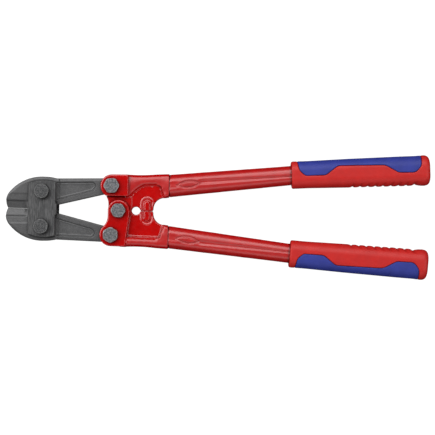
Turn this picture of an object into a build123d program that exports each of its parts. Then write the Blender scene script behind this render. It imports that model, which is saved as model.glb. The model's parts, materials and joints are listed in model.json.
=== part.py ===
from build123d import *
from math import atan2, cos, degrees, radians, sin, sqrt
import os

os.makedirs("parts", exist_ok=True)

# Bolt cutters lying flat, in millimetres.  X runs along the tool with the jaws at -X, Y runs
# across it with the upper handle at +Y, and Z points up out of the front face.  The tool is
# symmetric about the plane Y = 0 apart from the lap at the centre pivot, and its front and back
# faces are symmetric about the mid plane.  Z = 0 is the plane of the five nuts' undersides.

# Pivots
jaw_pivot = (-190.5, 19.1)
tail_pivot = (-115.2, 26.6)
centre_pivot = (-107.4, 0.0)

# Stack of plates between a bolt head and its nut, and the levels of the pieces in it
nut_height = 8.0
head_height = 6.4
stack_half = 11.65
mid_z = nut_height + stack_half
plate_thickness = 5.0
ear_inner_half = 5.65
tongue_half = 5.5
tail_half = 5.5
jaw_half = stack_half - plate_thickness - 0.15
web_half = 4.5
rib_half = 8.2
rim_half = 5.2
boss_half = 7.3

# Fasteners
bolt_radius = 5.0
hole_radius = 5.05
flats_width = 15.2
corner_radius = 8.75
jaw_bolt_corner_radius = 7.95
face_radius = 7.7
jaw_bolt_face_radius = 7.3
handle_bolt_corner_radius = 8.25
handle_bolt_face_radius = 7.45
centre_bolt_flats = 14.4
centre_bolt_corner_radius = 7.7
centre_bolt_face_radius = 7.0
chamfer_height = 0.5
shank_end_z = 0.8
tongue_hole_radius = 7.3

# Jaws
parting_gap = 0.1
tip_x = -228.6
jaw_tip = (-230.3, 8.0)
jaw_back_top = (-188.2, 34.9)
jaw_chamfer_width = 2.6
jaw_chamfer_height = 1.1
plate_left_x = -205.3
plate_right_x = -175.9
plate_nose_x = -174.3
tail_start_x = -172.6
tail_end_radius = 8.8
panel_depth = 0.9
bevel_width = 16.2
bevel_step = 0.45
steep_top = (9.2, 5.6)
steep_foot = (7.3, 3.6)
flank_back_half = 4.6
cutting_edge_half = 0.9

# Handle heads
ear_radius = 12.3
lug_radius = 11.5
flank_x = centre_pivot[0] - lug_radius
neck_radius = 15.0
neck_centre_x = flank_x - neck_radius
neck_centre_y = tail_pivot[1] - sqrt(
    (neck_radius + ear_radius) ** 2 - (neck_centre_x - tail_pivot[0]) ** 2
)
neck_angle = degrees(atan2(neck_centre_y - tail_pivot[1], neck_centre_x - tail_pivot[0]))
tongue_lug_radius = 10.4
tongue_clearance_radius = 12.6
slot_x = -104.1
ear_step_x = -97.3
ear_foot_y = 15.6
seam_x = -53.3
overrun = 5.0
eye_centre = (-88.9, 0.0)
eye_radius = 4.6
boss_x = -76.8
boss_length = 11.0
boss_width = 7.4

# Handle tubes: centre, width and thickness of the oval at the seam, the bend and the end
tube_stations = (
    (seam_x, 27.9, 25.2, 16.4),
    (84.0, 42.95, 21.7, 15.0),
    (214.0, 50.95, 20.8, 14.6),
)
tube_slope = (tube_stations[1][1] - tube_stations[0][1]) / (tube_stations[1][0] - seam_x)
tube_wall = 2.2
groove_depth = 1.2
spigot_clearance = 0.15
spigot_length = 25.0
spigot_size = (24.0, 16.0)
socket_length = 7.0
socket_size = (25.2, 16.4, 7.4)

# Grips
grip_start = (79.3, 42.79)
grip_angle = 3.4
grip_length = 150.6
inlay_depth = 2.4
inlay_corner_radius = 2.5
flute_count = 9
flute_pitch = 8.4
first_flute = 66.6
flute_radius = 2.6
flute_centre = -17.1

mid_plane = Plane.XY.offset(mid_z)


def around(centre, radius, angle):
    """Point at an angle on a circle."""
    return (centre[0] + radius * cos(radians(angle)), centre[1] + radius * sin(radians(angle)))


def level_edges(part, half):
    """Edges that lie wholly on the front and back planes at a half thickness."""
    front = part.edges().filter_by_position(Axis.Z, mid_z + half, mid_z + half)
    back = part.edges().filter_by_position(Axis.Z, mid_z - half, mid_z - half)
    return front + back


def rounded_slab(outline, half, edge_radius):
    """Slab centred on the mid plane, with its front and back edges rounded."""
    with BuildPart() as slab:
        extrude(outline, amount=half, both=True)
        fillet(level_edges(slab, half), edge_radius)
    return slab.part


def cross_section(x, y, width, thickness, corner):
    """Rounded oval across the tool's length."""
    plane = Plane(origin=(x, y, mid_z), x_dir=(0, 1, 0), z_dir=(1, 0, 0))
    with BuildSketch(plane) as oval:
        RectangleRounded(width, thickness, corner)
    return oval.sketch


# ---------------------------------------------------------------- link plates


def link_plate(bottom_z):
    """One of the two plates that carry the jaw pivots."""
    with BuildPart() as plate:
        with BuildSketch(Plane.XY.offset(bottom_z)):
            with BuildLine():
                top = ThreePointArc((plate_left_x, 27.5), (-190.5, 30.8), (plate_right_x, 29.0))
                bottom = ThreePointArc((plate_left_x, -27.5), (-190.5, -30.8), (plate_right_x, -29.0))
                Line(top @ 0, bottom @ 0)
                Polyline(
                    top @ 1,
                    (plate_right_x, 7.0),
                    (plate_nose_x, 5.0),
                    (plate_nose_x, -5.0),
                    (plate_right_x, -7.0),
                    bottom @ 1,
                )
            make_face()
            with Locations(jaw_pivot, (jaw_pivot[0], -jaw_pivot[1])):
                Circle(hole_radius, mode=Mode.SUBTRACT)
        extrude(amount=plate_thickness)
        rim = plate.faces().sort_by(Axis.Z)[-1 if bottom_z > mid_z else 0].outer_wire().edges()
        chamfer(rim, 0.7)
    return plate.part


front_link_plate = link_plate(mid_z + stack_half - plate_thickness)
rear_link_plate = link_plate(mid_z - stack_half)

# ---------------------------------------------------------------- jaws


def jaw_outline(level, squeeze):
    """Outline of the upper jaw at a level, with its back and its tail's outer side squeezed in."""
    back_y = squeeze * jaw_back_top[1]
    tail_y = squeeze * (tail_pivot[1] + tail_end_radius - 0.5)
    with BuildSketch(Plane.XY.offset(level)) as outline:
        with BuildLine():
            tip = ThreePointArc((tip_x, parting_gap), jaw_tip, (-227.8, squeeze * 16.2))
            back = ThreePointArc(tip @ 1, (-211.2, squeeze * 30.1), (jaw_back_top[0], back_y))
            shoulder = ThreePointArc(back @ 1, (-181.6, back_y - 0.4), (-175.5, back_y - 1.6))
            outer = Line(shoulder @ 1, (tail_pivot[0], tail_y))
            inner_end = around(tail_pivot, tail_end_radius, -113)
            end = ThreePointArc(outer @ 1, (tail_pivot[0] + tail_end_radius, tail_pivot[1]), inner_end)
            inner = Line(end @ 1, (tail_start_x, 5.0))
            heel = Line(inner @ 1, (jaw_pivot[0], parting_gap))
            Line(heel @ 1, tip @ 0)
        make_face()
    return outline.sketch


def bevel_section(x, edge_half, foot_half):
    """Wedge of air over the cutting edge: a fine step, a shallow bevel, a steep one and a flank."""
    plane = Plane(origin=(x, 0, mid_z), x_dir=(0, 1, 0), z_dir=(1, 0, 0))
    clear = jaw_half + 2
    with BuildSketch(plane) as wedge:
        Polygon(
            (bevel_width, clear),
            (bevel_width, jaw_half - bevel_step),
            steep_top,
            (steep_foot[0], foot_half),
            (0.0, edge_half),
            (-1.0, edge_half),
            (-1.0, clear),
            align=None,
        )
    return wedge.sketch


# The flank rises at the back of the cutting edge, just before the link plates
bevel_sections = [
    bevel_section(-232.0, cutting_edge_half, steep_foot[1]),
    bevel_section(-211.5, cutting_edge_half, steep_foot[1]),
    bevel_section(plate_left_x - 0.8, flank_back_half, flank_back_half + 0.5),
    bevel_section(plate_left_x + 1.5, flank_back_half, flank_back_half + 0.5),
]
with BuildPart() as blade_bevel:
    loft(bevel_sections, ruled=True)
    mirror(about=mid_plane)

# Upper layer of the jaw, with a long shallow bevel along its back and its tail's outer side
with BuildPart() as bevelled_layer:
    lower_outline = jaw_outline(mid_z + jaw_half - jaw_chamfer_height, 1.0)
    upper_outline = jaw_outline(mid_z + jaw_half, 1.0 - jaw_chamfer_width / jaw_back_top[1])
    loft([lower_outline, upper_outline], ruled=True)

with BuildPart() as upper_jaw:
    extrude(jaw_outline(mid_z, 1.0), amount=jaw_half - jaw_chamfer_height, both=True)
    add(bevelled_layer.part)
    mirror(bevelled_layer.part, about=mid_plane)
    # The tail is a little thinner than the head, so that it fits in its handle's fork
    with BuildSketch(Plane.XY.offset(mid_z + tail_half)):
        with Locations((tail_start_x, -10)):
            Rectangle(80, 60, align=(Align.MIN, Align.MIN))
    extrude(amount=5, mode=Mode.SUBTRACT)
    with BuildSketch(Plane.XY.offset(mid_z - tail_half)):
        with Locations((tail_start_x, -10)):
            Rectangle(80, 60, align=(Align.MIN, Align.MIN))
    extrude(amount=-5, mode=Mode.SUBTRACT)
    # Recessed panel on both faces of the tail
    with BuildSketch(mid_plane) as tail_panel:
        with BuildLine():
            top = Line((plate_right_x + 0.5, 29.2), (-135.5, 30.4))
            bottom = Line((-135.5, 20.2), (plate_right_x + 0.5, 9.4))
            ThreePointArc(top @ 1, (-130.6, 25.4), bottom @ 0)
            Line(bottom @ 1, top @ 0)
        make_face()
    for side in (1, -1):
        extrude(
            tail_panel.sketch.moved(Location((0, 0, side * (tail_half - panel_depth)))),
            amount=side * 3,
            mode=Mode.SUBTRACT,
        )
    # Ground bevels on both faces of the blade, ending under the link plates
    add(blade_bevel.part, mode=Mode.SUBTRACT)
    with BuildSketch(Plane.XY):
        with Locations(jaw_pivot, tail_pivot):
            Circle(hole_radius)
    extrude(amount=2 * mid_z, mode=Mode.SUBTRACT)

lower_jaw = mirror(upper_jaw.part, about=Plane.XZ)

# ---------------------------------------------------------------- fasteners


def hex_outline(centre, flats, turn):
    """Hexagon across a bolt's axis."""
    with BuildSketch(Plane.XY) as outline:
        with Locations(centre):
            RegularPolygon(flats / 2, 6, major_radius=False, rotation=turn)
    return outline.sketch


def turned_blank(centre, bottom_z, top_z, radius, chamfered_levels, flat_radius):
    """Turned blank whose chamfers cut back the corners of a head or nut."""
    with BuildPart() as blank:
        with BuildSketch(Plane.XY.offset(bottom_z)):
            with Locations(centre):
                Circle(radius)
        extrude(amount=top_z - bottom_z)
        for level in chamfered_levels:
            rim = blank.edges().filter_by_position(Axis.Z, level, level)
            chamfer(rim, chamfer_height, radius - flat_radius)
    return blank.part


def hex_bolt(centre, turn, radius, flat_radius, flats=flats_width):
    """Hexagon head on the front face, with a shank that ends inside its nut."""
    head_z = mid_z + stack_half
    top_z = head_z + head_height
    with BuildPart() as bolt:
        add(turned_blank(centre, head_z, top_z, radius, [top_z], flat_radius))
        extrude(
            hex_outline(centre, flats, turn).moved(Location((0, 0, head_z))),
            amount=head_height,
            mode=Mode.INTERSECT,
        )
        with BuildSketch(Plane.XY.offset(shank_end_z)):
            with Locations(centre):
                Circle(bolt_radius)
        extrude(amount=head_z - shank_end_z)
        chamfer(bolt.edges().filter_by(GeomType.CIRCLE).sort_by(Axis.Z)[0], 1.0)
    return bolt.part


def hex_nut(centre, turn):
    """Hexagon nut against the rear face."""
    with BuildPart() as nut:
        add(turned_blank(centre, 0, nut_height, corner_radius, [0, nut_height], face_radius))
        extrude(hex_outline(centre, flats_width, turn), amount=nut_height, mode=Mode.INTERSECT)
        with BuildSketch(Plane.XY):
            with Locations(centre):
                Circle(hole_radius)
        extrude(amount=nut_height, mode=Mode.SUBTRACT)
    return nut.part


def other_side(point):
    """The same point on the lower half of the tool."""
    return (point[0], -point[1])


upper_jaw_bolt = hex_bolt(jaw_pivot, 12, jaw_bolt_corner_radius, jaw_bolt_face_radius)
lower_jaw_bolt = hex_bolt(other_side(jaw_pivot), 20, jaw_bolt_corner_radius, jaw_bolt_face_radius)
upper_handle_bolt = hex_bolt(
    tail_pivot, 2, handle_bolt_corner_radius, handle_bolt_face_radius
)
lower_handle_bolt = hex_bolt(
    other_side(tail_pivot), 30, handle_bolt_corner_radius, handle_bolt_face_radius
)
centre_bolt = hex_bolt(
    centre_pivot, 0, centre_bolt_corner_radius, centre_bolt_face_radius, centre_bolt_flats
)
upper_jaw_nut = hex_nut(jaw_pivot, 7)
lower_jaw_nut = hex_nut(other_side(jaw_pivot), 26)
upper_handle_nut = hex_nut(tail_pivot, 16)
lower_handle_nut = hex_nut(other_side(tail_pivot), 38)
centre_nut = hex_nut(centre_pivot, 52)

# ---------------------------------------------------------------- handle heads
# Both heads are drawn as the upper one; the lower one is mirrored at the end.


def head_outline():
    """Silhouette of a handle head, from the ear at the jaw's tail to just past the seam."""
    with BuildSketch(mid_plane) as outline:
        with BuildLine():
            throat = ThreePointArc((-70.2, 3.0), (-67.4, 10.2), (-58.5, 14.7))
            under = Line(throat @ 1, (seam_x + overrun, 16.0))
            end = Line(under @ 1, (seam_x + overrun, 40.9))
            back = Line(end @ 1, (-68.0, 39.8))
            waist = ThreePointArc(back @ 1, (-84.0, 38.8), (-99.0, 39.1))
            crown = Line(waist @ 1, (tail_pivot[0], tail_pivot[1] + ear_radius))
            ear = ThreePointArc(
                crown @ 1,
                around(tail_pivot, ear_radius, 160),
                around(tail_pivot, ear_radius, neck_angle),
            )
            neck = TangentArc((flank_x, neck_centre_y), ear @ 1, tangent=(0, 1))
            flank = Line(neck @ 0, (flank_x, parting_gap))
            Polyline(flank @ 1, (-71.2, parting_gap), (-70.2, parting_gap + 1.0), throat @ 0)
        make_face()
    return outline.sketch


def ear_outline():
    """The raised cheek round the upper tail pivot, with a straight step behind it."""
    with BuildSketch(mid_plane) as outline:
        add(head_outline())
        with Locations((ear_step_x, ear_foot_y)):
            Rectangle(80, 60, align=(Align.MAX, Align.MIN), mode=Mode.INTERSECT)
    return outline.sketch


def cheek_outline():
    """The lower handle's cheek, one piece round its tail pivot and round the centre pivot."""
    with BuildSketch(mid_plane) as outline:
        with BuildLine():
            crown = Line((-98.8, 38.9), (tail_pivot[0], tail_pivot[1] + ear_radius))
            ear = ThreePointArc(
                crown @ 1,
                around(tail_pivot, ear_radius, 160),
                around(tail_pivot, ear_radius, neck_angle),
            )
            neck = TangentArc((flank_x, neck_centre_y), ear @ 1, tangent=(0, 1))
            flank = Line(neck @ 0, (flank_x, 0))
            lug = ThreePointArc(
                flank @ 1,
                around(centre_pivot, lug_radius, -90),
                around(centre_pivot, lug_radius, 0),
            )
            Polyline(lug @ 1, (-96.2, 5.0), (-99.4, 31.0), crown @ 0)
        make_face()
    return outline.sketch


def rib_outline(panel, start_x):
    """Thick band round a recessed panel: the back of the head and the tube's socket."""
    with BuildSketch(mid_plane) as outline:
        add(head_outline())
        with Locations((start_x, 0)):
            Rectangle(80, 60, align=(Align.MIN, Align.MIN), mode=Mode.INTERSECT)
        add(panel, mode=Mode.SUBTRACT)
    return outline.sketch


def panel_outline(front_edges):
    """Recessed panel: its front edges, then a shared corner and rear side, open at the bottom."""
    with BuildSketch(mid_plane) as outline:
        with BuildLine():
            add(front_edges)
            corner_start = front_edges.vertices().sort_by(Axis.X)[-1]
            corner_middle = (-62.4, corner_start.Y - 1.2)
            corner = ThreePointArc(tuple(corner_start), corner_middle, (-61.2, 24.4))
            Polyline(corner @ 1, (-58.5, 14.7), (-58.5, -5.0), (-130.0, -5.0))
        make_face()
    return outline.sketch


with BuildLine() as upper_panel_edges:
    upper_foot = Polyline((-130.0, -5.0), (-130.0, 13.0), (-96.4, 13.0))
    upper_sweep = ThreePointArc(upper_foot @ 1, (-89.4, 21.7), (-79.5, 28.2))
    Line(upper_sweep @ 1, (-65.5, 28.9))

with BuildLine() as lower_panel_edges:
    Polyline((-130.0, -5.0), (-130.0, 30.6), (-98.0, 30.6), (-65.5, 31.6))

upper_rib = rounded_slab(rib_outline(panel_outline(upper_panel_edges.line), -99.0), rib_half, 1.6)
lower_rib = rounded_slab(rib_outline(panel_outline(lower_panel_edges.line), -105.0), rib_half, 1.6)
web = rounded_slab(head_outline(), web_half, 0.8)
ear = rounded_slab(ear_outline(), stack_half, 1.0)
cheek = rounded_slab(cheek_outline(), stack_half, 1.0)

with BuildSketch(mid_plane) as tongue_outline:
    add(head_outline())
    with Locations((-93.5, parting_gap)):
        Rectangle(60, ear_foot_y - 0.2, align=(Align.MAX, Align.MIN), mode=Mode.INTERSECT)
    with BuildLine():
        lug_flank = ThreePointArc(
            (flank_x, parting_gap),
            (flank_x + 0.6, -2.3),
            around(centre_pivot, tongue_lug_radius, 204),
        )
        Polyline(lug_flank @ 1, (centre_pivot[0], 1.0), lug_flank @ 0)
    make_face()
    with Locations(centre_pivot):
        Circle(tongue_lug_radius)

# Half of the round-ended stop boss and of the raised rim round it
with BuildSketch(mid_plane) as boss_outline:
    with Locations((boss_x, 0)):
        SlotOverall(2 * boss_length, boss_width, rotation=90)
    with Locations((boss_x, parting_gap)):
        Rectangle(30, 30, align=(Align.CENTER, Align.MIN), mode=Mode.INTERSECT)

with BuildSketch(mid_plane) as rim_outline:
    with Locations((boss_x, 0)):
        SlotOverall(30.8, 14.4, rotation=90)
        SlotOverall(27.8, 11.4, rotation=90, mode=Mode.SUBTRACT)
    add(head_outline(), mode=Mode.INTERSECT)


def tube_sections(stations, inset):
    """Ovals of the tube, shrunk or grown all round."""
    ovals = []
    for x, y, width, thickness in stations:
        corner = thickness / 2 - 0.8 - inset
        ovals.append(cross_section(x, y, width - 2 * inset, thickness - 2 * inset, corner))
    return ovals


def head_core(rib):
    """What both heads share: web, rib, stop boss, socket and the spigot inside the tube."""
    spigot_ends = [
        (x, tube_stations[0][1] + tube_slope * (x - seam_x), *spigot_size)
        for x in (seam_x - 1, seam_x + spigot_length)
    ]
    with BuildPart() as core:
        add(web)
        add(rib)
        extrude(boss_outline.sketch, amount=boss_half, both=True)
        fillet(level_edges(core, boss_half), 1.2)
        extrude(rim_outline.sketch, amount=rim_half, both=True)
        extrude(cross_section(seam_x, tube_stations[0][1], *socket_size), amount=-socket_length)
        with BuildSketch(mid_plane):
            with Locations((seam_x, 0)):
                Rectangle(40, 120, align=(Align.MIN, Align.CENTER))
        extrude(amount=20, both=True, mode=Mode.SUBTRACT)
        loft(tube_sections(spigot_ends, tube_wall + spigot_clearance), ruled=True)
        with BuildSketch(Plane.XY):
            with Locations(eye_centre):
                Circle(eye_radius)
        extrude(amount=2 * mid_z, mode=Mode.SUBTRACT)
    return core.part


with BuildPart() as upper_handle_head:
    add(head_core(upper_rib))
    add(ear)
    extrude(tongue_outline.sketch, amount=tongue_half, both=True)
    with BuildSketch(mid_plane):
        with Locations((slot_x, ear_foot_y - 0.1)):
            Rectangle(60, 60, align=(Align.MAX, Align.MIN))
    extrude(amount=ear_inner_half, both=True, mode=Mode.SUBTRACT)
    with BuildSketch(Plane.XY):
        with Locations(tail_pivot):
            Circle(hole_radius)
        with Locations(centre_pivot):
            Circle(tongue_hole_radius)
    extrude(amount=2 * mid_z, mode=Mode.SUBTRACT)

with BuildPart() as fork_head:
    add(head_core(lower_rib))
    add(cheek)
    with BuildSketch(mid_plane):
        with Locations((slot_x, 0)):
            Rectangle(60, 120, align=(Align.MAX, Align.CENTER))
        with Locations(centre_pivot):
            Circle(tongue_clearance_radius)
    extrude(amount=ear_inner_half, both=True, mode=Mode.SUBTRACT)
    with BuildSketch(Plane.XY):
        with Locations(tail_pivot, centre_pivot):
            Circle(hole_radius)
    extrude(amount=2 * mid_z, mode=Mode.SUBTRACT)

lower_handle_head = mirror(fork_head.part, about=Plane.XZ)

# ---------------------------------------------------------------- handle tubes


def groove_section(station, width, depth):
    """Section of the channel pressed into the tube's front face."""
    x, y, _, thickness = station
    plane = Plane(origin=(x, y, mid_z + thickness / 2), x_dir=(0, 1, 0), z_dir=(1, 0, 0))
    with BuildSketch(plane) as section:
        Polygon(
            (-width / 2, 0.02),
            (-width / 4, -depth),
            (width / 4, -depth),
            (width / 2, 0.02),
            (width / 2, 2.0),
            (-width / 2, 2.0),
            align=None,
        )
    return section.sketch


badge_x = -33.5
badge_plane = Plane(
    origin=(badge_x, tube_stations[0][1] + tube_slope * (badge_x - seam_x), mid_z),
    x_dir=(1, tube_slope, 0),
    z_dir=(0, 0, 1),
)

# Channels pressed into the tube's two faces, wide at the seam and narrow at the bend
with BuildPart() as tube_channels:
    wide_end = groove_section(tube_stations[0], 8.4, groove_depth)
    narrow_end = groove_section(tube_stations[1], 2.4, groove_depth / 2)
    loft([wide_end, narrow_end])
    mirror(about=mid_plane)

with BuildPart() as upper_handle_tube:
    loft(tube_sections(tube_stations, 0), ruled=True)
    add(tube_channels.part, mode=Mode.SUBTRACT)
    # Blank lozenge standing in the channel on both faces
    with BuildSketch(badge_plane):
        Polygon((-12.6, 0), (-8.0, 3.1), (8.0, 3.1), (12.6, 0), (8.0, -3.1), (-8.0, -3.1))
    extrude(amount=tube_stations[0][3] / 2 - 0.3, both=True)
    loft(tube_sections(tube_stations, tube_wall), ruled=True, mode=Mode.SUBTRACT)

lower_handle_tube = mirror(upper_handle_tube.part, about=Plane.XZ)

# ---------------------------------------------------------------- grips


def grip_plane(distance):
    """Plane across the grip at a distance from its front end."""
    along = (cos(radians(grip_angle)), sin(radians(grip_angle)), 0)
    origin = (grip_start[0] + distance * along[0], grip_start[1] + distance * along[1], mid_z)
    return Plane(origin=origin, x_dir=(-along[1], along[0], 0), z_dir=along)


def grip_sections(inset):
    """Ovals of the grip from its front end to its flared rear end."""
    stations = (
        (0, 29.9, 24.6),
        (17, 29.6, 25.0),
        (61, 31.3, 26.2),
        (119, 32.4, 27.0),
        (138, 32.4, 27.2),
        (143.5, 33.6, 28.2),
        (146.5, 32.6, 27.0),
        (149.0, 29.4, 23.2),
        (grip_length, 25.0, 18.0),
    )
    ovals = []
    for distance, width, thickness in stations:
        with BuildSketch(grip_plane(distance)) as oval:
            RectangleRounded(width - 2 * inset, thickness - 2 * inset, thickness / 2 - 1.5 - inset)
        ovals.append(oval.sketch)
    return ovals


grip_side = Plane(
    origin=(grip_start[0], grip_start[1], mid_z),
    x_dir=(cos(radians(grip_angle)), sin(radians(grip_angle)), 0),
    z_dir=(0, 0, 1),
)

with BuildSketch(grip_side) as inlay_outline:
    with BuildLine():
        Polyline(
            (5.4, 20.0),
            (8.0, 5.0),
            (14.5, -1.5),
            (36.0, -1.6),
            (50.4, 8.2),
            (101.6, 7.0),
            (115.2, -1.6),
            (134.2, -2.1),
            (140.6, 3.4),
            (141.6, 20.0),
            close=True,
        )
    make_face()
    fillet(inlay_outline.vertices().sort_by(Axis.Y)[:-2], inlay_corner_radius)

with BuildPart() as upper_grip_inlay:
    loft(grip_sections(0), ruled=True)
    loft(grip_sections(inlay_depth), ruled=True, mode=Mode.SUBTRACT)
    extrude(inlay_outline.sketch, amount=20, both=True, mode=Mode.INTERSECT)

with BuildPart() as upper_grip:
    loft(grip_sections(0), ruled=True)
    loft(tube_sections(tube_stations, -0.15), ruled=True, mode=Mode.SUBTRACT)
    add(upper_grip_inlay.part, mode=Mode.SUBTRACT)
    # Shallow round finger flutes along the inner edge
    with BuildSketch(grip_side) as flutes:
        for index in range(flute_count):
            with Locations((first_flute + index * flute_pitch, flute_centre)):
                Circle(flute_radius)
    extrude(flutes.sketch, amount=20, both=True, mode=Mode.SUBTRACT)

lower_grip = mirror(upper_grip.part, about=Plane.XZ)
lower_grip_inlay = mirror(upper_grip_inlay.part, about=Plane.XZ)

# ---------------------------------------------------------------- finished pieces

pieces = {
    "front_link_plate": front_link_plate,
    "rear_link_plate": rear_link_plate,
    "upper_jaw": upper_jaw.part,
    "lower_jaw": lower_jaw,
    "upper_jaw_bolt": upper_jaw_bolt,
    "lower_jaw_bolt": lower_jaw_bolt,
    "upper_jaw_nut": upper_jaw_nut,
    "lower_jaw_nut": lower_jaw_nut,
    "upper_handle_head": upper_handle_head.part,
    "lower_handle_head": lower_handle_head,
    "upper_handle_tube": upper_handle_tube.part,
    "lower_handle_tube": lower_handle_tube,
    "upper_handle_bolt": upper_handle_bolt,
    "lower_handle_bolt": lower_handle_bolt,
    "centre_bolt": centre_bolt,
    "upper_handle_nut": upper_handle_nut,
    "lower_handle_nut": lower_handle_nut,
    "centre_nut": centre_nut,
    "upper_grip": upper_grip.part,
    "lower_grip": lower_grip,
    "upper_grip_inlay": upper_grip_inlay.part,
    "lower_grip_inlay": lower_grip_inlay,
}
for name, piece in pieces.items():
    piece.label = name
    export_step(piece, f"parts/{name}.step")
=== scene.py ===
import json
from math import cos, pi, radians, sin

import bpy
import numpy as np
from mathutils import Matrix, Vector

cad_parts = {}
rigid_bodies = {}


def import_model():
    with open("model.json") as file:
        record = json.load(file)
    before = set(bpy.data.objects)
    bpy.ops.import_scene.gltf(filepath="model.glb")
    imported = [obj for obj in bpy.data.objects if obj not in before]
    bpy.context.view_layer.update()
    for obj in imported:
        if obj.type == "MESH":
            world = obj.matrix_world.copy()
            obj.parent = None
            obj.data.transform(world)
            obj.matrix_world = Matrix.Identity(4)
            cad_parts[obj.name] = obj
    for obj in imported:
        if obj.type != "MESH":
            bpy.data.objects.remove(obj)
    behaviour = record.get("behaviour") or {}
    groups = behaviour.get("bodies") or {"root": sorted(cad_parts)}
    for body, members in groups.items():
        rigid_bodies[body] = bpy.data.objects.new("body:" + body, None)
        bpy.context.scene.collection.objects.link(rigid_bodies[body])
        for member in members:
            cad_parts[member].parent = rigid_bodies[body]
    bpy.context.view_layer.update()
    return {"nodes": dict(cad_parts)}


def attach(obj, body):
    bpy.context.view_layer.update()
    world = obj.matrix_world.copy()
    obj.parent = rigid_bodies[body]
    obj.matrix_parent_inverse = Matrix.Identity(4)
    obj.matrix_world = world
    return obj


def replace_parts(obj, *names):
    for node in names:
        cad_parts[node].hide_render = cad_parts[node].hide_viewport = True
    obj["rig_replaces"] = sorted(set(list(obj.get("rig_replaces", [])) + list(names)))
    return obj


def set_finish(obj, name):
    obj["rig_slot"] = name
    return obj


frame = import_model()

MM = 0.001
MID_Z = 0.01965
FAR_AWAY = 1e9
NO_LENGTH = 1e-12

# How wide an edge's rounding or a fillet is, from crisp to full, in millimetres
HAIR_BLEND = 0.4
CRISP_BLEND = 0.5
THIN_BLEND = 0.6
FINE_BLEND = 0.7
SMALL_BLEND = 0.8
SEAM_BLEND = 0.9
PLAIN_BLEND = 1.0
SOFT_BLEND = 1.2
FULL_BLEND = 1.6

scene = bpy.context.scene
scene.view_settings.view_transform = "Standard"
scene.view_settings.look = "None"

# ---------------------------------------------------------------- soft-edged solids
# Cast, moulded and pressed pieces are fields of signed distance, negative inside, in
# millimetres.  Their surface is found on a fine grid, so that every edge is softly rounded.


def soft_max(a, b, k):
    """The larger of two fields, with the edge between them rounded over about k."""
    h = np.maximum(k - np.abs(a - b), 0.0) / k
    return np.maximum(a, b) + h * h * k / 4


def soft_min(a, b, k):
    """The smaller of two fields, with a fillet of about k between them."""
    return -soft_max(-a, -b, k)


def smooth_step(value, low, high):
    """0 below low, 1 above high and a smooth climb between them."""
    share = np.clip((value - low) / (high - low), 0.0, 1.0)
    return share * share * (3 - 2 * share)


def arc(start, middle, end, count=12):
    """Points of the circular arc through three points, without its end."""
    (ax, ay), (bx, by), (cx, cy) = start, middle, end
    d = 2 * (ax * (by - cy) + bx * (cy - ay) + cx * (ay - by))
    a2, b2, c2 = ax * ax + ay * ay, bx * bx + by * by, cx * cx + cy * cy
    ux = (a2 * (by - cy) + b2 * (cy - ay) + c2 * (ay - by)) / d
    uy = (a2 * (cx - bx) + b2 * (ax - cx) + c2 * (bx - ax)) / d
    first = np.arctan2(ay - uy, ax - ux)
    turn = (np.arctan2(cy - uy, cx - ux) - first) % (2 * pi)
    passed = (np.arctan2(by - uy, bx - ux) - first) % (2 * pi)
    if passed > turn:
        turn -= 2 * pi
    radius = np.hypot(ax - ux, ay - uy)
    angles = first + turn * np.arange(count) / count
    return [(ux + radius * np.cos(t), uy + radius * np.sin(t)) for t in angles]


def rounded(corners, count=6):
    """Outline through (x, y, radius) corners, each replaced by an arc of its radius."""
    points = []
    for index, (x, y, radius) in enumerate(corners):
        here = np.array((x, y))
        before = np.array(corners[index - 1][:2]) - here
        after = np.array(corners[(index + 1) % len(corners)][:2]) - here
        if radius == 0:
            points.append((x, y))
            continue
        before /= np.linalg.norm(before)
        after /= np.linalg.norm(after)
        half = np.arccos(np.clip(before @ after, -1, 1)) / 2
        reach = radius / np.tan(half)
        middle = (before + after) / np.linalg.norm(before + after)
        centre = here + middle * radius / np.sin(half)
        start, end = here + before * reach, here + after * reach
        top = centre - middle * radius
        points += arc(tuple(start), tuple(top), tuple(end), count) + [tuple(end)]
    return points


def around(centre, radius, angle):
    """Point at a radius and an angle in degrees from a centre."""
    return (centre[0] + radius * cos(radians(angle)), centre[1] + radius * sin(radians(angle)))


def outline_field(x, y, points):
    """Signed distance to a closed outline."""
    best = np.full(np.broadcast(x, y).shape, FAR_AWAY)
    inside = np.zeros(best.shape, bool)
    for (ax, ay), (bx, by) in zip(points, points[1:] + points[:1]):
        dx, dy = bx - ax, by - ay
        length2 = dx * dx + dy * dy
        if length2 < NO_LENGTH:
            continue
        t = np.clip(((x - ax) * dx + (y - ay) * dy) / length2, 0, 1)
        best = np.minimum(best, (x - ax - t * dx) ** 2 + (y - ay - t * dy) ** 2)
        if ay != by:
            crosses = ((ay > y) != (by > y)) & (x < ax + (y - ay) * dx / dy)
            inside ^= crosses
    return np.where(inside, -1, 1) * np.sqrt(best)


def bar_field(x, y, centre, length, width):
    """Signed distance to a round-ended bar that runs along Y."""
    reach = (length - width) / 2
    return np.hypot(x - centre[0], np.maximum(np.abs(y - centre[1]) - reach, 0)) - width / 2


def oval_field(across, up, width, thickness, corner):
    """Signed distance to a rounded rectangle about the origin."""
    a = np.abs(across) - width / 2 + corner
    b = np.abs(up) - thickness / 2 + corner
    outer = np.hypot(np.maximum(a, 0), np.maximum(b, 0))
    return outer + np.minimum(np.maximum(a, b), 0) - corner


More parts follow.
